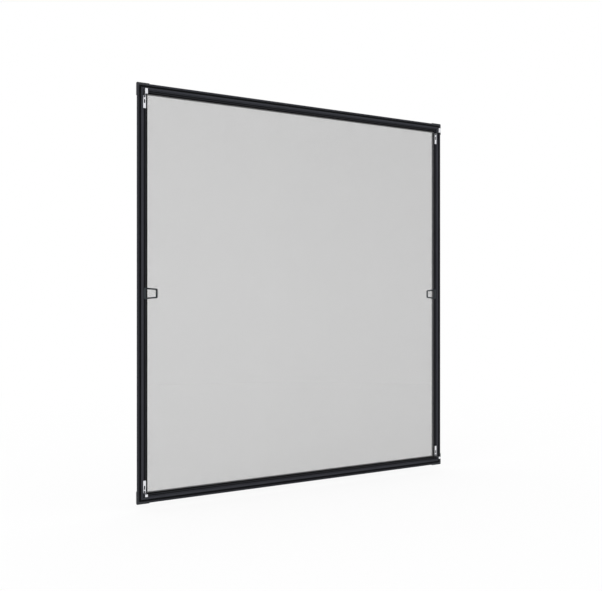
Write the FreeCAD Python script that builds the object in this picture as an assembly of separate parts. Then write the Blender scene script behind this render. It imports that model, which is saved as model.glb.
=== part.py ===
import FreeCAD, Part
import math
import os

# Insect screen that hooks into a window frame from the room, without drilling.
# X runs to the right, Z up and Y away from the room. The origin is at the middle of the frame, in the
# plane of its front faces, where the brush meets the outside of the window frame. Millimetres.

# Overall size, over the four extruded members
frame_width = 1340.0
frame_height = 1500.0

# Section of the members: u runs inwards from the outer edge, t runs back from the front face
wing_width = 14.4
wing_front = 3.7
wing_thickness = 3.2
face_width = 7.2
ledge_width = 10.2
ledge_depth = 3.2
spline_groove_width = 4.8
spline_groove_depth = 5.7
inner_lip_width = 1.4
inner_lip_front = 4.9
section_depth = 15.3
wall = 1.3
screw_groove_inset = 5.3
screw_groove_width = 3.0
screw_groove_depth = 5.5
edge_radius = 0.4
fit_gap = 0.1

# Brush seal: a backing tape in a T-slot of the wing, and its pile
brush_backing_width = 6.8
brush_backing_thickness = 0.9
brush_slot_lip = 0.9
brush_slot_overhang = 1.4
pile_height = 3.9
pile_splay = 1.4

# Mesh: the weave is drawn at a coarse pitch, with bands of threads that take the same share of the pitch
# as the threads of the fine weave do
mesh_thickness = 0.3
gap_columns = 9
gap_rows = 10
band_share = 0.24
band_threads = 2
thread_width = 1.0
thread_relief = 0.15

# Angle keys inside the corners
key_leg = 60.0
key_clearance = 0.2
key_groove_width = 1.5
key_groove_depth = 0.5
key_groove_pitch = 14.0
key_groove_count = 2
key_tip_taper = 2.0

# Caps over the corners of the wing
cap_leg = 45.0
cap_wall = 2.0
cap_flange = 0.7
cap_reach = 7.2
cap_corner_radius = 4.5
cap_edge_chamfer = 0.4

# Hooks of bent strip
hook_width = 9.5
hook_thickness = 1.8
hook_bend_radius = 0.6
hook_offset = 28.5
hook_tip_radius = 1.5
upper_hook_inset = 44.3
upper_plate_length = 44.4
upper_tab_height = 18.8
lower_hook_inset = 39.0
lower_plate_length = 42.3
lower_tab_height = 8.4
hook_slot_width = 4.7
hook_slot_length = 14.6
hook_slot_from_end = 25.0

# Screws of the hooks
screw_hole_diameter = 3.2
screw_from_bend = 3.2
screw_head_diameter = 5.0
screw_head_height = 1.3
screw_length = 6.0
screw_recess_width = 0.8
screw_recess_length = 2.8
screw_recess_depth = 0.7

# Handles
handle_base_height = 41.0
handle_tip_height = 34.0
handle_reach = 36.5
handle_arm_width = 5.5
handle_tip_bar = 6.9
handle_base_margin = 0.3
handle_base_overhang = 1.2
handle_base_radius = 1.5
handle_front = 2.0
handle_mesh_gap = 0.3
handle_tip_radius = 5.0
handle_hole_radius = 2.5
handle_edge_chamfer = 0.7
handle_rib_length = 30.0
handle_rib_depth = 4.0

# Places across the section that several pieces share
wing_back = wing_front + wing_thickness
brush_slot_start = wing_width - brush_backing_width - 2 * fit_gap
face_end = wing_width + face_width
ledge_end = face_end + ledge_width
spline_groove_floor = ledge_depth + spline_groove_depth
spline_groove_end = ledge_end + spline_groove_width
section_width = spline_groove_end + inner_lip_width
screw_groove_middle = face_end + screw_groove_inset
screw_groove_start = screw_groove_middle - screw_groove_width / 2
screw_groove_end = screw_groove_middle + screw_groove_width / 2
mesh_front = inner_lip_front - mesh_thickness
hem_end = spline_groove_end - fit_gap
hem_start = hem_end - mesh_thickness

Vector = FreeCAD.Vector
origin = Vector(0, 0, 0)
y_axis = Vector(0, 1, 0)
shortest_edge = 1e-6

# For each side: turn about Y from the bottom side, length of the side, distance to the opposite side
sides = {
    "bottom": (0, frame_width, frame_height),
    "left": (90, frame_height, frame_width),
    "top": (180, frame_width, frame_height),
    "right": (270, frame_height, frame_width),
}

# For each corner: turn about Y from the bottom left corner, and its place in X and Z
corners = {
    "bottom_left": (0, -frame_width / 2, -frame_height / 2),
    "top_left": (90, -frame_width / 2, frame_height / 2),
    "top_right": (180, frame_width / 2, frame_height / 2),
    "bottom_right": (270, frame_width / 2, -frame_height / 2),
}


def rounded_face(points, radii):
    """Flat face inside a closed outline, each corner rounded by a tangent arc of its own radius."""
    starts = []
    middles = []
    ends = []
    count = len(points)
    for index, (point, radius) in enumerate(zip(points, radii)):
        back = (points[index - 1] - point).normalize()
        ahead = (points[(index + 1) % count] - point).normalize()
        half_angle = back.getAngle(ahead) / 2
        tangent = radius / math.tan(half_angle)
        inwards = (back + ahead).normalize()
        starts.append(point + back * tangent)
        middles.append(point + inwards * (radius / math.sin(half_angle) - radius))
        ends.append(point + ahead * tangent)
    edges = []
    for index in range(count):
        if radii[index] > 0:
            edges.append(Part.Arc(starts[index], middles[index], ends[index]).toShape())
        following = starts[(index + 1) % count]
        if ends[index].distanceToPoint(following) > shortest_edge:
            edges.append(Part.LineSegment(ends[index], following).toShape())
    return Part.Face(Part.Wire(edges))


def section_face(outline):
    """Face from (u, t, corner radius) points, drawn across the bottom side of the frame."""
    points = [Vector(0, t, u) for u, t, radius in outline]
    return rounded_face(points, [radius for u, t, radius in outline])


def plan_face(outline, y):
    """Face from (x, z, corner radius) points, parallel to the front of the frame."""
    points = [Vector(x, y, z) for x, z, radius in outline]
    return rounded_face(points, [radius for x, z, radius in outline])


def block(x_range, y_range, z_range):
    """Box between two values on each axis."""
    ends = list(zip(x_range, y_range, z_range))
    size = Vector(*ends[1]) - Vector(*ends[0])
    return Part.makeBox(size.x, size.y, size.z, Vector(*ends[0]))


def along_side(section, side):
    """Carry a section along one side of the frame, with both ends cut at 45 degrees."""
    turn, length, across = sides[side]
    half = length / 2
    bar = section.extrude(Vector(length, 0, 0))
    bar.translate(Vector(-half, 0, 0))
    box = bar.BoundBox
    plan = [(-half, 0, 0), (half, 0, 0), (half - section_width, section_width, 0),
            (-half + section_width, section_width, 0)]
    mitre = plan_face(plan, box.YMin - wall).extrude(Vector(0, box.YLength + 2 * wall, 0))
    bar = bar.common(mitre).Solids[0]
    bar.translate(Vector(0, 0, -across / 2))
    bar.rotate(origin, y_axis, turn)
    return bar


def at_corner(shape, corner):
    """Move a piece drawn at the bottom left corner, with its legs along +X and +Z, to a corner."""
    turn, x, z = corners[corner]
    shape.rotate(origin, y_axis, turn)
    shape.translate(Vector(x, 0, z))
    return shape


def member_section():
    """Section of the extrusion: wing with T-slot, box with ledge and grooves, two chambers."""
    mouth_start = brush_slot_start + brush_slot_overhang
    mouth_end = wing_width - brush_slot_overhang
    slot_top = wing_front + brush_slot_lip
    slot_floor = slot_top + brush_backing_thickness + 2 * fit_gap
    screw_groove_floor = ledge_depth + screw_groove_depth
    outline = [
        (0, wing_front, edge_radius),
        (mouth_start, wing_front, 0),
        (mouth_start, slot_top, 0),
        (brush_slot_start, slot_top, 0),
        (brush_slot_start, slot_floor, 0),
        (wing_width, slot_floor, 0),
        (wing_width, slot_top, 0),
        (mouth_end, slot_top, 0),
        (mouth_end, wing_front, 0),
        (wing_width, wing_front, 0),
        (wing_width, 0, edge_radius),
        (face_end, 0, edge_radius),
        (face_end, ledge_depth, 0),
        (screw_groove_start, ledge_depth, 0),
        (screw_groove_start, screw_groove_floor, 0),
        (screw_groove_end, screw_groove_floor, 0),
        (screw_groove_end, ledge_depth, 0),
        (ledge_end, ledge_depth, edge_radius),
        (ledge_end, spline_groove_floor, 0),
        (spline_groove_end, spline_groove_floor, 0),
        (spline_groove_end, inner_lip_front, 0),
        (section_width, inner_lip_front, 0),
        (section_width, section_depth, 0),
        (wing_width, section_depth, 0),
        (wing_width, wing_back, 0),
        (0, wing_back, 0),
    ]
    key_chamber = [
        (wing_width + wall, wall, 0),
        (face_end - wall, wall, 0),
        (face_end - wall, ledge_depth + wall, 0),
        (screw_groove_start - wall, ledge_depth + wall, 0),
        (screw_groove_start - wall, section_depth - wall, 0),
        (wing_width + wall, section_depth - wall, 0),
    ]
    rear_top = max(spline_groove_floor, screw_groove_floor) + wall
    rear_chamber = [
        (screw_groove_start, rear_top, 0),
        (section_width - wall, rear_top, 0),
        (section_width - wall, section_depth - wall, 0),
        (screw_groove_start, section_depth - wall, 0),
    ]
    section = section_face(outline)
    section = section.cut(section_face(key_chamber))
    section = section.cut(section_face(rear_chamber))
    return section.Faces[0]


def brush_section():
    """Backing tape in the T-slot, with pile that comes straight out of the mouth and spreads to its tips."""
    backing_top = wing_front + brush_slot_lip + fit_gap
    backing_floor = backing_top + brush_backing_thickness
    pile_start = brush_slot_start + brush_slot_overhang + fit_gap
    pile_end = wing_width - brush_slot_overhang - fit_gap
    pile_tip = wing_front - pile_height
    outline = [
        (brush_slot_start + fit_gap, backing_top, 0),
        (pile_start, backing_top, 0),
        (pile_start, wing_front, 0),
        (pile_start - pile_splay, pile_tip, 0),
        (pile_end + pile_splay, pile_tip, 0),
        (pile_end, wing_front, 0),
        (pile_end, backing_top, 0),
        (wing_width - fit_gap, backing_top, 0),
        (wing_width - fit_gap, backing_floor, 0),
        (brush_slot_start + fit_gap, backing_floor, 0),
    ]
    return section_face(outline)


def spline_section():
    """Round cord between the outer wall of its groove and the hem of the mesh."""
    radius = (hem_start - ledge_end) / 2 - fit_gap
    middle = Vector(0, spline_groove_floor - fit_gap - radius, (ledge_end + hem_start) / 2)
    return Part.Face(Part.Wire(Part.makeCircle(radius, middle, Vector(1, 0, 0))))


def corner_key():
    """Angle with two barbed legs that fill the key chambers of two members."""
    near = wing_width + wall + key_clearance
    far = screw_groove_start - wall - key_clearance
    front = ledge_depth + wall + key_clearance
    back = section_depth - wall - key_clearance
    end = near + key_leg
    tip = end - key_tip_taper
    outline = [(near, near, 0), (tip, near, 0), (end, near + key_tip_taper, 0),
               (end, far - key_tip_taper, 0), (tip, far, 0), (far, far, 0), (far, tip, 0),
               (far - key_tip_taper, end, 0), (near + key_tip_taper, end, 0), (near, tip, 0)]
    key = plan_face(outline, front).extrude(Vector(0, back - front, 0))
    grooves = []
    for index in range(key_groove_count):
        start = tip - key_groove_pitch * (index + 1)
        along = (start, start + key_groove_width)
        for edge in (near, far - key_groove_depth):
            across = (edge, edge + key_groove_depth)
            grooves.append(block(along, (front, back), across))
            grooves.append(block(across, (front, back), along))
    return key.cut(Part.makeCompound(grooves)).Solids[0]


def corner_cap():
    """Channel-shaped angle that wraps the outer edge of the wing, with a rounded corner."""
    outline = [(-cap_wall, -cap_wall, cap_corner_radius), (cap_leg, -cap_wall, 0), (cap_leg, cap_reach, 0),
               (cap_reach, cap_reach, 0), (cap_reach, cap_leg, 0), (-cap_wall, cap_leg, 0)]
    front = wing_front - cap_flange
    depth = wing_thickness + 2 * cap_flange
    cap = plan_face(outline, front).extrude(Vector(0, depth, 0))
    rims = [edge for edge in cap.Edges
            if edge.BoundBox.YLength < fit_gap and min(edge.BoundBox.XMin, edge.BoundBox.ZMin) < 0]
    cap = cap.makeChamfer(cap_edge_chamfer, rims)
    wing = block((0, section_width + cap_leg), (wing_front, wing_back), (0, section_width + cap_leg))
    return cap.cut(wing).Solids[0]


def hook(inset, plate_length, tab_height):
    """Bent strip for the top edge: plate on the ledge, web towards the room, tab turned up."""
    web_under = frame_height / 2 - inset
    web_over = web_under + hook_thickness
    plate_end = web_under - plate_length
    plate_front = ledge_depth - hook_thickness
    tab_front = plate_front - hook_offset
    tab_back = tab_front + hook_thickness
    tab_end = web_under + tab_height
    outer_bend = hook_bend_radius + hook_thickness
    bends = [(ledge_depth, plate_end, 0), (plate_front, plate_end, 0),
             (plate_front, web_under, hook_bend_radius), (tab_front, web_under, outer_bend),
             (tab_front, tab_end, 0), (tab_back, tab_end, 0),
             (tab_back, web_over, hook_bend_radius), (ledge_depth, web_over, outer_bend)]
    half = hook_width / 2
    points = [Vector(-half, y, z) for y, z, radius in bends]
    strip = rounded_face(points, [radius for y, z, radius in bends]).extrude(Vector(hook_width, 0, 0))
    outline = [(-half, plate_end, 0), (half, plate_end, 0),
               (half, tab_end, hook_tip_radius), (-half, tab_end, hook_tip_radius)]
    strip = strip.common(plan_face(outline, tab_front).extrude(Vector(0, ledge_depth - tab_front, 0)))
    slot_low = plate_end + hook_slot_from_end - hook_slot_length / 2
    slot_high = slot_low + hook_slot_length
    round_end = hook_slot_width / 2
    slot = [(-round_end, slot_low, round_end), (round_end, slot_low, round_end),
            (round_end, slot_high, round_end), (-round_end, slot_high, round_end)]
    through = Vector(0, hook_thickness, 0)
    strip = strip.cut(plan_face(slot, plate_front).extrude(through))
    hole_middle = Vector(0, plate_front, web_under - screw_from_bend)
    strip = strip.cut(Part.makeCylinder(screw_hole_diameter / 2, hook_thickness, hole_middle, y_axis))
    return strip.Solids[0]


def hook_screw(inset):
    """Self-tapping screw with a cheese head and a cross recess, in the screw groove behind a hook."""
    plate_front = ledge_depth - hook_thickness
    height = frame_height / 2 - inset - screw_from_bend
    head_top = plate_front - screw_head_height
    head_middle = Vector(0, head_top, height)
    head = Part.makeCylinder(screw_head_diameter / 2, screw_head_height, head_middle, y_axis)
    shank_radius = screw_groove_width / 2 - fit_gap
    shank = Part.makeCylinder(shank_radius, screw_head_height + screw_length, head_middle, y_axis)
    screw = head.fuse(shank).removeSplitter()
    recess_y = (head_top, head_top + screw_recess_depth)
    narrow = screw_recess_width / 2
    long = screw_recess_length / 2
    screw = screw.cut(block((-narrow, narrow), recess_y, (height - long, height + long)))
    screw = screw.cut(block((-long, long), recess_y, (height - narrow, height + narrow)))
    return screw.Solids[0]


def at_hook(shape, x_side, z_side):
    """Move a piece drawn at the middle of the top edge to a stile's groove, turned down at the bottom."""
    if z_side < 0:
        shape.rotate(origin, y_axis, 180)
    shape.translate(Vector(x_side * (frame_width / 2 - screw_groove_middle), 0, 0))
    return shape


def handle():
    """Grip for the left stile: a base on the ledge, a rib in the screw groove and a tapered ring."""
    base_start = face_end + handle_base_margin
    base_end = ledge_end + handle_base_overhang
    tip_end = section_width + handle_reach
    tip_start = tip_end - handle_tip_bar
    back = mesh_front - thread_relief - handle_mesh_gap
    base_half = handle_base_height / 2
    tip_half = handle_tip_height / 2
    taper = (base_half - tip_half) / (tip_end - base_end)
    hole_base_half = base_half - handle_arm_width
    hole_tip_half = hole_base_half - taper * (tip_start - base_end)
    outline = [(base_start, -base_half, handle_base_radius), (base_end, -base_half, 0),
               (tip_end, -tip_half, handle_tip_radius), (tip_end, tip_half, handle_tip_radius),
               (base_end, base_half, 0), (base_start, base_half, handle_base_radius)]
    hole = [(base_end, -hole_base_half, handle_hole_radius), (tip_start, -hole_tip_half, handle_hole_radius),
            (tip_start, hole_tip_half, handle_hole_radius), (base_end, hole_base_half, handle_hole_radius)]
    depth = Vector(0, back - handle_front, 0)
    grip = plan_face(outline, handle_front).extrude(depth)
    grip = grip.cut(plan_face(hole, handle_front).extrude(depth))
    front_rim = [edge for edge in grip.Edges if edge.BoundBox.YMax < handle_front + fit_gap]
    grip = grip.makeChamfer(handle_edge_chamfer, front_rim)
    ledge = block((base_start, ledge_end + fit_gap), (ledge_depth, back), (-base_half, base_half))
    grip = grip.cut(ledge)
    rib_x = (screw_groove_start + fit_gap, screw_groove_end - fit_gap)
    rib_z = (-handle_rib_length / 2, handle_rib_length / 2)
    rib_y = (handle_front + handle_edge_chamfer, ledge_depth + handle_rib_depth)
    grip = grip.fuse(block(rib_x, rib_y, rib_z))
    grip = grip.removeSplitter().Solids[0]
    grip.translate(Vector(-frame_width / 2, 0, 0))
    return grip


def band_lines(clear, count):
    """Middles of the threads in the bands between cells, across a clear opening."""
    pitch = clear / count
    spacing = pitch * band_share / band_threads
    return [-clear / 2 + band * pitch + (thread + 0.5 - band_threads / 2) * spacing
            for band in range(1, count) for thread in range(band_threads)]


def cell_ranges(clear, count):
    """Start and end of each open cell across a clear opening."""
    pitch = clear / count
    half = pitch * (1 - band_share) / 2
    middles = [-clear / 2 + (index + 0.5) * pitch for index in range(count)]
    return [(middle - half, middle + half) for middle in middles]


def insect_mesh():
    """Stretched sheet with its hem turned into the groove, bands of threads in relief and open cells."""
    half_width = frame_width / 2 - hem_start
    half_height = frame_height / 2 - hem_start
    hem_floor = spline_groove_floor - fit_gap
    sheet = block((-half_width, half_width), (mesh_front, hem_floor), (-half_height, half_height))
    inside_width = half_width - mesh_thickness
    inside_height = half_height - mesh_thickness
    sheet = sheet.cut(block((-inside_width, inside_width), (inner_lip_front, hem_floor),
                            (-inside_height, inside_height)))
    clear_width = frame_width - 2 * section_width
    clear_height = frame_height - 2 * section_width
    half_thread = thread_width / 2
    front_relief = (mesh_front - thread_relief, mesh_front)
    back_relief = (inner_lip_front, inner_lip_front + thread_relief)
    threads = []
    for x in band_lines(clear_width, gap_columns):
        threads.append(block((x - half_thread, x + half_thread), front_relief,
                             (-clear_height / 2, clear_height / 2)))
    for z in band_lines(clear_height, gap_rows):
        threads.append(block((-clear_width / 2, clear_width / 2), back_relief,
                             (z - half_thread, z + half_thread)))
    sheet = sheet.fuse(threads)
    cells = [block(x_range, (mesh_front, inner_lip_front), z_range)
             for x_range in cell_ranges(clear_width, gap_columns)
             for z_range in cell_ranges(clear_height, gap_rows)]
    return sheet.cut(Part.makeCompound(cells)).removeSplitter().Solids[0]


# Members, brush strips and splines along the four sides
nodes = {}
member_names = {"left": "left_stile", "right": "right_stile", "top": "top_rail", "bottom": "bottom_rail"}
for side in sides:
    nodes[member_names[side]] = along_side(member_section(), side)
    nodes["brush_strip_" + side] = along_side(brush_section(), side)
    nodes["spline_" + side] = along_side(spline_section(), side)

# Keys and caps at the four corners
for corner in corners:
    nodes["corner_key_" + corner] = at_corner(corner_key(), corner)
    nodes["corner_cap_" + corner] = at_corner(corner_cap(), corner)

nodes["insect_mesh"] = insect_mesh()

# Hooks near the ends of the stiles, with one screw in each
screws = []
hook_rows = {
    "top": (1, upper_hook_inset, upper_plate_length, upper_tab_height),
    "bottom": (-1, lower_hook_inset, lower_plate_length, lower_tab_height),
}
for row, (z_side, inset, plate_length, tab_height) in hook_rows.items():
    for column, x_side in (("left", -1), ("right", 1)):
        strip = hook(inset, plate_length, tab_height)
        nodes["hook_" + row + "_" + column] = at_hook(strip, x_side, z_side)
        screws.append(at_hook(hook_screw(inset), x_side, z_side))
nodes["hook_screws"] = Part.makeCompound(screws)

# Handles halfway up the stiles
nodes["handle_left"] = handle()
right_handle = handle()
right_handle.rotate(origin, y_axis, 180)
nodes["handle_right"] = right_handle

os.makedirs("parts", exist_ok=True)
for name, shape in nodes.items():
    shape.exportStep("parts/" + name + ".step")
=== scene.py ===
import math

import bpy
import numpy as np
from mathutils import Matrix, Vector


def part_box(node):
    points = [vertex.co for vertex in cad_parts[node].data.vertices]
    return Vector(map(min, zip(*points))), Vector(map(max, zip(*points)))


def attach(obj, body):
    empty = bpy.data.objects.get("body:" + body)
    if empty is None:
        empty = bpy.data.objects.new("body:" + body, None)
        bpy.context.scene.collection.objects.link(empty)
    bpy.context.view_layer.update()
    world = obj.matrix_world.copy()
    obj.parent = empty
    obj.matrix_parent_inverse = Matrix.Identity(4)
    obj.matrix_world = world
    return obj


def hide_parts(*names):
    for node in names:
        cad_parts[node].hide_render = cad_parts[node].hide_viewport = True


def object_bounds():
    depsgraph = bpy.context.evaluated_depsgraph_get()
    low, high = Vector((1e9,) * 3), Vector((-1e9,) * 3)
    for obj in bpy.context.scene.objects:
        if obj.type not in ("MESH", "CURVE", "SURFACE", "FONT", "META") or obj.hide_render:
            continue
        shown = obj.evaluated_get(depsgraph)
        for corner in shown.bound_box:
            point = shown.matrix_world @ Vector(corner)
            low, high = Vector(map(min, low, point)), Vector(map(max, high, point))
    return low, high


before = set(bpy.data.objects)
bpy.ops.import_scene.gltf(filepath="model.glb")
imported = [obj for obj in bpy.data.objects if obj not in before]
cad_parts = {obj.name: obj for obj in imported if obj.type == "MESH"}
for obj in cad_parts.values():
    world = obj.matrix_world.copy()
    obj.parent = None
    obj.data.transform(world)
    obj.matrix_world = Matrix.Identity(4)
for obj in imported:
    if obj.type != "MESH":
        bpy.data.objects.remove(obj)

cad_low, cad_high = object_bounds()

# Frame members
# Four mitred lengths of one hollow aluminium extrusion, with a flange for the brush, a raised face,
# a ledge and two grooves. They are powder coated in matt dark grey: a fine, even orange peel.
member_nodes = ("left_stile", "right_stile", "top_rail", "bottom_rail")
half_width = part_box("right_stile")[1].x
half_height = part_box("top_rail")[1].z
coat_deep = (0.0315, 0.0330, 0.0400, 1)
coat_pale = (0.0365, 0.0380, 0.0460, 1)
coat_cloud_per_m = 9.0
coat_peel_per_m = 1400.0
coat_peel_detail = 1.0
coat_peel_height = 0.00004
coat_roughness = (0.50, 0.60)
coat_gloss = 0.12

# Painted shade in the grooves and, fainter, on the rib between them, placed by their distance inwards from
# the outer edge and their depth behind the front face; the dark mitre seams by half their width, and how
# dark they are
shade_and_seam_tone = (0.004, 0.004, 0.004, 1)
groove_reach = (0.0225, 0.0362)
groove_depth = (0.0034, 0.0042)
groove_floor = 0.0095
rib_start = 0.0282
rib_painted_shade = 0.5
seam_half = 0.00012
seam_darkness = 0.7

# The stretch of a noise pattern over which a tone, or a roughness, goes from one limit to the other
tone_stretch = (0.32, 0.68)
roughness_stretch = (0.3, 0.7)


def start_finish(name):
    """New material: gives back the material, its node tree, its shader and the piece's own coordinates."""
    material = bpy.data.materials.new(name)
    material.use_nodes = True
    tree = material.node_tree
    coordinates = tree.nodes.new("ShaderNodeTexCoord")
    return material, tree, tree.nodes["Principled BSDF"], coordinates.outputs["Object"]


def cloud(tree, place, per_metre, detail=2.0, squeeze=(1, 1, 1)):
    """Soft noise from 0 to 1 with about that many spots to the metre, times a squeeze along each axis."""
    mapping = tree.nodes.new("ShaderNodeMapping")
    mapping.inputs["Scale"].default_value = squeeze
    noise = tree.nodes.new("ShaderNodeTexNoise")
    noise.inputs["Scale"].default_value = per_metre
    noise.inputs["Detail"].default_value = detail
    tree.links.new(place, mapping.inputs["Vector"])
    tree.links.new(mapping.outputs["Vector"], noise.inputs["Vector"])
    return noise.outputs["Fac"]


def two_tones(tree, pattern, deep, pale, socket):
    """Colour a socket from deep to pale over the middle of a pattern's range."""
    ramp = tree.nodes.new("ShaderNodeValToRGB")
    low, high = ramp.color_ramp.elements
    low.position, high.position = tone_stretch
    low.color = deep
    high.color = pale
    tree.links.new(pattern, ramp.inputs["Fac"])
    tree.links.new(ramp.outputs["Color"], socket)


def carried(tree, value, before, after, course="LINEAR"):
    """Carry a value from one range over to another, in a straight line or along another course, and hold
    it at both ends."""
    scale = tree.nodes.new("ShaderNodeMapRange")
    scale.interpolation_type = course
    for name, limit in zip(("From Min", "From Max", "To Min", "To Max"), before + after):
        scale.inputs[name].default_value = limit
    tree.links.new(value, scale.inputs["Value"])
    return scale.outputs["Result"]


def roughen(tree, pattern, limits, shader):
    """Drive a shader's roughness between two limits from a pattern."""
    tree.links.new(carried(tree, pattern, roughness_stretch, limits), shader.inputs["Roughness"])


def relief(tree, pattern, height, shader):
    """Raise a pattern by a height in metres as bump on a shader."""
    bump = tree.nodes.new("ShaderNodeBump")
    bump.inputs["Distance"].default_value = height
    tree.links.new(pattern, bump.inputs["Height"])
    tree.links.new(bump.outputs["Normal"], shader.inputs["Normal"])


def dress(nodes, material):
    """Give CAD nodes one material."""
    for node in nodes:
        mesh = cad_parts[node].data
        mesh.materials.clear()
        mesh.materials.append(material)


def arithmetic(tree, operation, first, second=0.0):
    """One step of arithmetic on patterns or plain numbers."""
    step = tree.nodes.new("ShaderNodeMath")
    step.operation = operation
    for socket, value in zip(step.inputs, (first, second)):
        if isinstance(value, float):
            socket.default_value = value
        else:
            tree.links.new(value, socket)
    return step.outputs["Value"]


def coordinate(tree, place, axis):
    """One of the three coordinates of a place or a direction."""
    axes = tree.nodes.new("ShaderNodeSeparateXYZ")
    tree.links.new(place, axes.inputs["Vector"])
    return axes.outputs[axis]


def past_depth(tree, place, depths):
    """0 as far as the first depth behind the front face and 1 from the second one on."""
    return carried(tree, coordinate(tree, place, "Y"), depths, (0, 1))


def painted_shade_and_seam(tree, place):
    """Painted shade and dark seams: 1 inside the two grooves, part of that on the rib between them and
    along the mitres, and 0 elsewhere. A groove is where the distance inwards from the nearest outer edge
    is within reach and the depth is between the ledge and the grooves' floor; a mitre is where two such
    distances agree."""
    from_middle = arithmetic(tree, "ABSOLUTE", coordinate(tree, place, "X"))
    from_level = arithmetic(tree, "ABSOLUTE", coordinate(tree, place, "Z"))
    from_side = arithmetic(tree, "SUBTRACT", half_width, from_middle)
    from_end = arithmetic(tree, "SUBTRACT", half_height, from_level)
    inwards = arithmetic(tree, "MINIMUM", from_side, from_end)
    past_start = arithmetic(tree, "GREATER_THAN", inwards, groove_reach[0])
    past_rib = arithmetic(tree, "GREATER_THAN", inwards, rib_start)
    before_end = arithmetic(tree, "LESS_THAN", inwards, groove_reach[1])
    above_floor = arithmetic(tree, "LESS_THAN", coordinate(tree, place, "Y"), groove_floor)
    in_groove = arithmetic(tree, "MULTIPLY", past_start, past_depth(tree, place, groove_depth))
    on_rib = arithmetic(tree, "MULTIPLY", past_rib, rib_painted_shade)
    shaded_share = arithmetic(tree, "MAXIMUM", in_groove, on_rib)
    shaded_share = arithmetic(tree, "MULTIPLY", shaded_share, arithmetic(tree, "MULTIPLY", before_end, above_floor))
    off_mitre = arithmetic(tree, "ABSOLUTE", arithmetic(tree, "SUBTRACT", from_side, from_end))
    on_seam = arithmetic(tree, "LESS_THAN", off_mitre, seam_half)
    return arithmetic(tree, "MAXIMUM", shaded_share, arithmetic(tree, "MULTIPLY", on_seam, seam_darkness))


def darkened(tree, amount, dark, socket):
    """Put a mix with a dark colour before a socket, by an amount, and give back the mix's own socket."""
    mix = tree.nodes.new("ShaderNodeMix")
    mix.data_type = "RGBA"
    plain, darker = [entry for entry in mix.inputs if entry.type == "RGBA"]
    darker.default_value = dark
    tree.links.new(amount, mix.inputs["Factor"])
    tree.links.new(next(entry for entry in mix.outputs if entry.type == "RGBA"), socket)
    return plain


def powder_coat():
    """Matt grey coat: slow tone shifts, fine orange peel, a low gloss. Shade is painted into the grooves,
    which stay nearly black, and more faintly onto the rib between them; the mitres get a dark seam line."""
    material, tree, shader, place = start_finish("powder_coat")
    shade = cloud(tree, place, coat_cloud_per_m)
    peel = cloud(tree, place, coat_peel_per_m, detail=coat_peel_detail)
    coat = darkened(tree, painted_shade_and_seam(tree, place), shade_and_seam_tone, shader.inputs["Base Color"])
    two_tones(tree, shade, coat_deep, coat_pale, coat)
    roughen(tree, shade, coat_roughness, shader)
    relief(tree, peel, coat_peel_height, shader)
    shader.inputs["Specular IOR Level"].default_value = coat_gloss
    return material


dress(member_nodes, powder_coat())

# Angle keys
# Moulded nylon angles pushed into the chambers of two members at each corner. They hold the mitres
# together by their barbed legs and can only be seen before the frame is joined.
corner_names = ("top_left", "top_right", "bottom_left", "bottom_right")
nylon_deep = (0.010, 0.010, 0.010, 1)
nylon_pale = (0.020, 0.020, 0.021, 1)
nylon_grain_per_m = 700.0
nylon_grain_height = 0.00005
nylon_roughness = (0.45, 0.60)


def key_nylon():
    """Dark moulded nylon with a fine grain."""
    material, tree, shader, place = start_finish("key_nylon")
    grain = cloud(tree, place, nylon_grain_per_m)
    two_tones(tree, grain, nylon_deep, nylon_pale, shader.inputs["Base Color"])
    roughen(tree, grain, nylon_roughness, shader)
    relief(tree, grain, nylon_grain_height, shader)
    return material


dress(["corner_key_" + corner for corner in corner_names], key_nylon())

# Brush seal
# Black polypropylene pile woven into a backing tape, which slides into the T-slot of the flange.
# The fibres stand in rows, lean a little and spread towards their tips.
brush_low, brush_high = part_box("brush_strip_left")

# Edges of the tape and of the pile's rows, as distances inwards from the outer edge of the frame
tape_edge = (brush_low.x + half_width, brush_high.x + half_width)
pile_edge = (0.0095, 0.0123)

tape_thickness = 0.0009
tape_front = brush_high.y - tape_thickness
pile_rows = 7
pile_sink = 0.0001
pile_spread = 2.0
tuft_sides = 3
tuft_pitch = 0.00090
tuft_root_radius = 0.00040
tuft_tip_radius = 0.00052
lean_along = 0.00030
lean_across = 0.00016
tip_ragged = 0.00022
pile_deep = (0.0028, 0.0030, 0.0036, 1)
pile_pale = (0.0085, 0.0090, 0.0110, 1)
pile_streak_per_m = 900.0
pile_streak_squeeze = (1, 0.1, 1)
pile_roughness = (0.55, 0.75)
pile_gloss = 0.15
pile_seed = 11
chance = np.random.default_rng(pile_seed)

# Place of a row's first tuft, and shift of every second row, as shares of the pitch
row_start = 0.25
row_shift = 0.5

# For each side: direction along it, direction inwards, half its length, half the distance across
side_frames = {
    "left": dict(along=(0, 0, 1), inwards=(1, 0, 0), half_length=half_height, half_across=half_width),
    "right": dict(along=(0, 0, -1), inwards=(-1, 0, 0), half_length=half_height, half_across=half_width),
    "top": dict(along=(1, 0, 0), inwards=(0, 0, -1), half_length=half_width, half_across=half_height),
    "bottom": dict(along=(-1, 0, 0), inwards=(0, 0, 1), half_length=half_width, half_across=half_height),
}


def on_side(side, along, inwards, back):
    """Points from distances along a side, inwards from its outer edge and back from the front face."""
    points = np.multiply.outer(along, side_frames[side]["along"])
    from_centre = inwards - side_frames[side]["half_across"]
    points = points + np.multiply.outer(from_centre, side_frames[side]["inwards"])
    return points + np.multiply.outer(back, (0, 1, 0))


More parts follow.
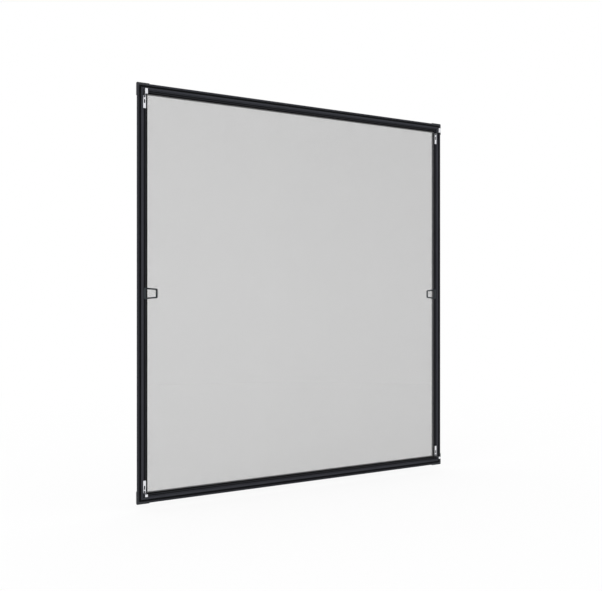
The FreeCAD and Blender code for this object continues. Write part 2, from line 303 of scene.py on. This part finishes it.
def tube_faces(around, rings, count=1, first=0):
    """Faces of closed tubes whose points follow one another ring by ring, from a first point on: a quad
    from each two neighbours on a ring to the same two on the next ring, and a face over each end."""
    step = np.arange(around)
    ahead = np.roll(step, -1)
    ring = around * np.arange(rings - 1)[:, None, None]
    walls = np.stack([step, ahead, ahead + around, step + around], axis=1) + ring
    ends = np.stack([step[::-1], step + around * (rings - 1)])
    start = first + around * rings * np.arange(count)[:, None, None]
    walls = start + walls.reshape(1, -1, 4)
    ends = start + ends
    return walls.reshape(-1, 4).tolist() + ends.reshape(-1, around).tolist()


def mitred_run(side, inwards, back):
    """Closed tube along a side: each point of its profile stops at the 45 degree mitre, at plus and minus
    (half the length - its distance inwards)."""
    reach = side_frames[side]["half_length"] - inwards
    points = on_side(side, np.stack([-reach, reach]), inwards, back)
    return points.reshape(-1, 3), tube_faces(len(inwards), rings=2)


def solid(name, points, faces, material):
    """Mesh piece at the origin, with its place in its points, riding on the frame."""
    mesh = bpy.data.meshes.new(name)
    mesh.from_pydata(points.tolist(), [], faces)
    mesh.materials.append(material)
    mesh.update()
    piece = bpy.data.objects.new(name, mesh)
    bpy.context.scene.collection.objects.link(piece)
    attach(piece, "root")
    return piece


def pile(side, first):
    """Tufts in rows: tip = root spread from the middle row, plus a random lean and height. Each tuft is
    a closed tube of two rings, root and tip, round its own line and turned at random."""
    rows = np.linspace(*pile_edge, pile_rows)
    half_length = side_frames[side]["half_length"]
    per_row = int(2 * half_length / tuft_pitch)
    shift = np.arange(pile_rows)[:, None] % 2 * row_shift
    share = (np.arange(per_row) + row_start + shift) / per_row
    inwards = np.repeat(rows, per_row)
    along = ((share * 2 - 1) * (half_length - rows[:, None])).ravel()
    count = len(along)
    middle = np.mean(pile_edge)
    sides = np.linspace(0, -2 * math.pi, tuft_sides, endpoint=False)
    turn = chance.uniform(0, 2 * math.pi, count)[:, None] + sides
    tip_along = along + chance.normal(0, lean_along, count)
    tip_inwards = middle + (inwards - middle) * pile_spread + chance.normal(0, lean_across, count)
    tip_back = brush_low.y + np.abs(chance.normal(0, tip_ragged, count))
    roots = on_side(side, along[:, None] + tuft_root_radius * np.cos(turn),
                    inwards[:, None] + tuft_root_radius * np.sin(turn),
                    np.full((count, 1), tape_front + pile_sink))
    tips = on_side(side, tip_along[:, None] + tuft_tip_radius * np.cos(turn),
                   tip_inwards[:, None] + tuft_tip_radius * np.sin(turn),
                   tip_back[:, None])
    points = np.concatenate([roots, tips], axis=1).reshape(-1, 3)
    return points, tube_faces(tuft_sides, rings=2, count=count, first=first)


def brush_fibre():
    """Black fibres with a faint sheen, streaked from root to tip."""
    material, tree, shader, place = start_finish("brush_fibre")
    streaks = cloud(tree, place, pile_streak_per_m, squeeze=pile_streak_squeeze)
    two_tones(tree, streaks, pile_deep, pile_pale, shader.inputs["Base Color"])
    roughen(tree, streaks, pile_roughness, shader)
    shader.inputs["Specular IOR Level"].default_value = pile_gloss
    return material


fibre = brush_fibre()
tape_inwards = np.array([tape_edge[0], tape_edge[1], tape_edge[1], tape_edge[0]])
tape_back = np.array([tape_front, tape_front, brush_high.y, brush_high.y])
for side in side_frames:
    tape_points, tape_faces = mitred_run(side, tape_inwards, tape_back)
    pile_points, pile_faces = pile(side, len(tape_points))
    points = np.concatenate([tape_points, pile_points])
    brush = solid("brush_" + side, points, tape_faces + pile_faces, fibre)
    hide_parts("brush_strip_" + side)

# Insect mesh
# Coated glass fibre threads, woven square and bonded where they cross, stretched over the inner lip.
# Every thread turns down into the groove at both ends, where the cord holds it.
mesh_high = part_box("insect_mesh")[1]
thread_pitch = 0.0014
thread_width = 0.00036
thread_thickness = 0.00014
upright_front = 0.00460
level_front = upright_front + thread_thickness
hem_back = 0.0087
# Depths behind the front face over which the hem fades into painted shade, and the shade's tone
hem_shade_depth = (0.0050, 0.0056)
hem_painted_shade_tone = (0.012, 0.012, 0.012, 1)
thread_deep = (0.146, 0.146, 0.146, 1)
thread_pale = (0.206, 0.206, 0.206, 1)
thread_twist_per_m = 1500.0
thread_roughness = (0.5, 0.7)
thread_gloss = 0.2


def threads(half_across, half_length, front, first=0):
    """Flat threads side by side, in (across, along, back) order: each is a strip carried along a path
    that comes up from the groove, runs over the lip to the other side and goes down again. A strip's
    four edges are plus or minus half its width across, on its outer and on its inner face."""
    count = int(2 * half_across / thread_pitch)
    middles = (np.arange(count) - (count - 1) / 2) * thread_pitch
    across = np.array([1, -1, -1, 1]) * thread_width / 2
    inset = np.array([0, 0, 1, 1]) * thread_thickness
    end = np.array([-1, -1, 1, 1])[:, None]
    over_lip = np.array([False, True, True, False])[:, None]
    points = np.empty((count, len(end), len(across), 3))
    points[..., 0] = middles[:, None, None] + across
    points[..., 1] = end * (half_length - inset)
    points[..., 2] = np.where(over_lip, front + inset, hem_back)
    return points.reshape(-1, 3), tube_faces(len(across), len(end), count, first)


def mesh_thread():
    """Grey coated yarn: the twist shows as short light and dark stretches. The hem down in the groove is
    darkened with painted shade."""
    material, tree, shader, place = start_finish("mesh_thread")
    twist = cloud(tree, place, thread_twist_per_m)
    hem_shade = past_depth(tree, place, hem_shade_depth)
    yarn = darkened(tree, hem_shade, hem_painted_shade_tone, shader.inputs["Base Color"])
    two_tones(tree, twist, thread_deep, thread_pale, yarn)
    roughen(tree, twist, thread_roughness, shader)
    shader.inputs["Specular IOR Level"].default_value = thread_gloss
    return material


# The upright threads are counted from the right, so that their faces point outwards too
upright, upright_faces = threads(mesh_high.x, mesh_high.z, upright_front)
level, level_faces = threads(mesh_high.z, mesh_high.x, level_front, len(upright))
weave_points = np.concatenate([upright[:, [0, 2, 1]] * (-1, 1, 1), level[:, [1, 2, 0]]])
weave = solid("mesh_weave", weave_points, upright_faces + level_faces, mesh_thread())
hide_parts("insect_mesh")

# Spline cord
# Ribbed black rubber cord, rolled into the groove on top of the mesh's hem after stretching.
# Four lengths, cut to meet in the corners.
spline_low, spline_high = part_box("spline_left")
spline_radius = (spline_high.x - spline_low.x) / 2
spline_inwards = (spline_low.x + spline_high.x) / 2 + half_width
spline_back = (spline_low.y + spline_high.y) / 2
spline_ribs = 12
spline_rib_depth = 0.08
points_per_rib = 6
rubber_deep = (0.003, 0.003, 0.0035, 1)
rubber_pale = (0.007, 0.007, 0.0075, 1)
rubber_bloom_per_m = 300.0
rubber_roughness = (0.55, 0.75)
rubber_gloss = 0.05


def ribbed_profile():
    """Distances inwards and back round the cord: its radius falls by a share and rises again at each rib,
    as a cosine of the turn."""
    turn = np.linspace(0, 2 * math.pi, spline_ribs * points_per_rib, endpoint=False)
    radius = spline_radius * (1 - spline_rib_depth * (1 - np.cos(spline_ribs * turn)) / 2)
    return spline_inwards + radius * np.cos(turn), spline_back + radius * np.sin(turn)


def spline_rubber():
    """Black rubber with a dusty bloom."""
    material, tree, shader, place = start_finish("spline_rubber")
    bloom = cloud(tree, place, rubber_bloom_per_m)
    two_tones(tree, bloom, rubber_deep, rubber_pale, shader.inputs["Base Color"])
    roughen(tree, bloom, rubber_roughness, shader)
    shader.inputs["Specular IOR Level"].default_value = rubber_gloss
    return material


rubber = spline_rubber()
for side in side_frames:
    points, faces = mitred_run(side, *ribbed_profile())
    spline = solid("spline_cord_" + side, points, faces, rubber)
    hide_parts("spline_" + side)

# Corner caps
# Moulded plastic angles that clip over the flange at each corner and stand a little proud of it.
# They are grained and coloured to match the coat.
cap_deep = (0.027, 0.029, 0.034, 1)
cap_pale = (0.034, 0.0365, 0.0425, 1)
cap_grain_per_m = 1800.0
cap_grain_height = 0.00006
cap_roughness = (0.45, 0.58)
cap_gloss = 0.25


def cap_plastic():
    """Grained plastic in the colour of the coat."""
    material, tree, shader, place = start_finish("cap_plastic")
    grain = cloud(tree, place, cap_grain_per_m)
    two_tones(tree, grain, cap_deep, cap_pale, shader.inputs["Base Color"])
    roughen(tree, grain, cap_roughness, shader)
    relief(tree, grain, cap_grain_height, shader)
    shader.inputs["Specular IOR Level"].default_value = cap_gloss
    return material


dress(["corner_cap_" + corner for corner in corner_names], cap_plastic())

# Hooks
# Stainless strip, punched with a slot and a round hole and bent twice into a Z. The plate is screwed
# to the ledge and the tab grips the room side of the window frame. The strip is brushed lengthwise.
steel_deep = (0.720, 0.727, 0.758, 1)
steel_pale = (0.880, 0.888, 0.925, 1)
# Painted shade for the web between the two bends
web_painted_shade = (0.270, 0.275, 0.290, 1)
brushing_per_m = 2500.0
brushing_squeeze = (1, 1, 0.03)
brushing_height = 0.00001
steel_roughness = (0.28, 0.42)

# Depths behind the front face between which the web's painted shade fades in, at either end of the web
tab_to_web = (-0.0252, -0.0240)
plate_to_web = (0.0012, 0.0002)


def hook_steel():
    """Brushed stainless steel: fine streaks along Z in tone, gloss and relief. The web between the two
    bends is darkened with painted shade."""
    material, tree, shader, place = start_finish("hook_steel")
    streaks = cloud(tree, place, brushing_per_m, squeeze=brushing_squeeze)
    off_tab = past_depth(tree, place, tab_to_web)
    off_plate = past_depth(tree, place, plate_to_web)
    on_web = arithmetic(tree, "MULTIPLY", off_tab, off_plate)
    brushed = darkened(tree, on_web, web_painted_shade, shader.inputs["Base Color"])
    two_tones(tree, streaks, steel_deep, steel_pale, brushed)
    roughen(tree, streaks, steel_roughness, shader)
    relief(tree, streaks, brushing_height, shader)
    shader.inputs["Metallic"].default_value = 1.0
    return material


dress(["hook_" + corner for corner in corner_names], hook_steel())

# Hook screws
# Black zinc plated self-tapping screws, one through the round hole of each hook into the groove.
# The plating is thin and keeps little gloss.
screw_deep = (0.006, 0.006, 0.007, 1)
screw_pale = (0.014, 0.014, 0.015, 1)
screw_cloud_per_m = 1200.0
screw_roughness = (0.35, 0.50)
screw_gloss = 0.1


def screw_zinc():
    """Black plating, a little uneven."""
    material, tree, shader, place = start_finish("screw_zinc")
    shade = cloud(tree, place, screw_cloud_per_m)
    two_tones(tree, shade, screw_deep, screw_pale, shader.inputs["Base Color"])
    roughen(tree, shade, screw_roughness, shader)
    shader.inputs["Specular IOR Level"].default_value = screw_gloss
    return material


dress(["hook_screws"], screw_zinc())

# Handles
# One-piece moulded grips: a base snapped into the ledge's groove and a tapered ring for two fingers,
# which lies just in front of the mesh. Grained dark grey plastic.
grip_deep = (0.0260, 0.0305, 0.0345, 1)
grip_pale = (0.0320, 0.0375, 0.0425, 1)
grip_grain_per_m = 1600.0
grip_grain_height = 0.00008
grip_roughness = (0.42, 0.56)
grip_gloss = 0.15


def handle_plastic():
    """Grained dark grey plastic, a shade greener than the coat."""
    material, tree, shader, place = start_finish("handle_plastic")
    grain = cloud(tree, place, grip_grain_per_m)
    two_tones(tree, grain, grip_deep, grip_pale, shader.inputs["Base Color"])
    roughen(tree, grain, grip_roughness, shader)
    relief(tree, grain, grip_grain_height, shader)
    shader.inputs["Specular IOR Level"].default_value = grip_gloss
    return material


dress(["handle_left", "handle_right"], handle_plastic())

# Ground and surroundings
# A pale floor under the frame and a white surround. Both look plain white to the camera and in
# reflections, but for the frame's faint shadow on the floor. The surround's light is soft and comes
# from the sides, with dim flats before and behind the frame.
floor_drop = 0.02
floor_half = 14.0
floor_tone = (0.75, 0.75, 0.75, 1)
floor_roughness = 0.9
white = (1, 1, 1, 1)

# Share of plain white in the floor's look close by and far off, and the distances that bound them
floor_glow = (0.86, 1.0)
floor_glow_reach = (1.0, 3.5)

# Strength of the light from the sides and from the flats, and how far along Y a direction lies there
side_light = 1.55
flat_light = 0.12
side_edge = 0.45
flat_edge = 0.92


def seen_directly(tree):
    """1 for rays from the camera, from a mirror or through glass, and 0 for the rest."""
    path = tree.nodes.new("ShaderNodeLightPath")
    most = path.outputs["Is Camera Ray"]
    for name in ("Is Glossy Ray", "Is Transmission Ray"):
        most = arithmetic(tree, "MAXIMUM", most, path.outputs[name])
    return most


def floor_brightness(tree, place):
    """How much of the floor's look is plain white: less under the frame, where its shadow falls, and all
    of it from some distance on."""
    distance = tree.nodes.new("ShaderNodeVectorMath")
    distance.operation = "LENGTH"
    tree.links.new(place, distance.inputs[0])
    glow = carried(tree, distance.outputs["Value"], floor_glow_reach, floor_glow, "SMOOTHSTEP")
    return arithmetic(tree, "MULTIPLY", seen_directly(tree), glow)


def either(tree, choice, first, second):
    """The first shader where the choice is 0, the second where it is 1, and a mix between."""
    mix = tree.nodes.new("ShaderNodeMixShader")
    for socket, source in zip(mix.inputs, (choice, first, second)):
        tree.links.new(source, socket)
    return mix.outputs["Shader"]


def white_floor():
    """Pale matt floor that shows as nearly plain white from above and not at all from below."""
    material, tree, shader, place = start_finish("white_floor")
    shader.inputs["Base Color"].default_value = floor_tone
    shader.inputs["Roughness"].default_value = floor_roughness
    shine = tree.nodes.new("ShaderNodeEmission")
    shine.inputs["Color"].default_value = white
    clear = tree.nodes.new("ShaderNodeBsdfTransparent")
    below = tree.nodes.new("ShaderNodeNewGeometry").outputs["Backfacing"]
    above = either(tree, floor_brightness(tree, place), shader.outputs["BSDF"], shine.outputs["Emission"])
    look = either(tree, below, above, clear.outputs["BSDF"])
    tree.links.new(look, tree.nodes["Material Output"].inputs["Surface"])
    return material


def white_surround():
    """White all round: bright from the sides and dim along Y, by how much of a direction lies along Y,
    and plain white where it is seen directly."""
    world = bpy.data.worlds.new("surround")
    world.use_nodes = True
    tree = world.node_tree
    direction = tree.nodes.new("ShaderNodeTexCoord").outputs["Generated"]
    along_y = arithmetic(tree, "ABSOLUTE", coordinate(tree, direction, "Y"))
    light = carried(tree, along_y, (side_edge, flat_edge), (side_light, flat_light), "SMOOTHSTEP")
    strength = tree.nodes.new("ShaderNodeMix")
    strength.inputs["B"].default_value = 1.0
    tree.links.new(seen_directly(tree), strength.inputs["Factor"])
    tree.links.new(light, strength.inputs["A"])
    background = tree.nodes["Background"]
    background.inputs["Color"].default_value = white
    tree.links.new(strength.outputs["Result"], background.inputs["Strength"])
    return world


floor_corners = np.array([[-1, -1, 0], [1, -1, 0], [1, 1, 0], [-1, 1, 0]]) * floor_half
floor_points = floor_corners + (0, 0, cad_low.z - floor_drop)
floor_mesh = bpy.data.meshes.new("floor")
floor_mesh.from_pydata(floor_points.tolist(), [], [(0, 1, 2, 3)])
floor_mesh.materials.append(white_floor())
floor = bpy.data.objects.new("floor", floor_mesh)
bpy.context.scene.collection.objects.link(floor)
bpy.context.scene.world = white_surround()

# Lamp
# A wide soft disc far to the left and a little above the middle, aimed at the middle of the frame.
# It lights the sides that face left a little more.
lamp_place = (-5.0, -2.2, 0.4)
lamp_size = 2.4
lamp_power = 60.0

lamp_light = bpy.data.lights.new("left_lamp", "AREA")
lamp_light.shape = "DISK"
lamp_light.size = lamp_size
lamp_light.energy = lamp_power
lamp = bpy.data.objects.new("left_lamp", lamp_light)
lamp.location = lamp_place
lamp_tilt = math.pi / 2 - math.atan2(lamp_place[2], math.hypot(lamp_place[0], lamp_place[1]))
lamp.rotation_euler = (lamp_tilt, 0, math.atan2(lamp_place[0], -lamp_place[1]))
bpy.context.scene.collection.objects.link(lamp)

# Camera
# Level with the middle of the frame and well to the left of it, looking 27 degrees to the right.
# The horizon lies a little below the middle of the picture, which the shift brings about.
camera_place = (-1.2363, -2.4378, -0.01425)
camera_turn = math.radians(-26.51)
picture_width = 602
focal_pixels = 686.06
horizon_below_middle = 1.853
sensor_width = 36.0

camera_data = bpy.data.cameras.new("camera")
camera_data.sensor_width = sensor_width
camera_data.lens = focal_pixels / picture_width * sensor_width
camera_data.shift_y = horizon_below_middle / picture_width
camera = bpy.data.objects.new("camera", camera_data)
camera.location = camera_place
camera.rotation_euler = (math.pi / 2, 0, camera_turn)
bpy.context.scene.collection.objects.link(camera)
bpy.context.scene.camera = camera
bpy.context.scene.view_settings.view_transform = "Standard"
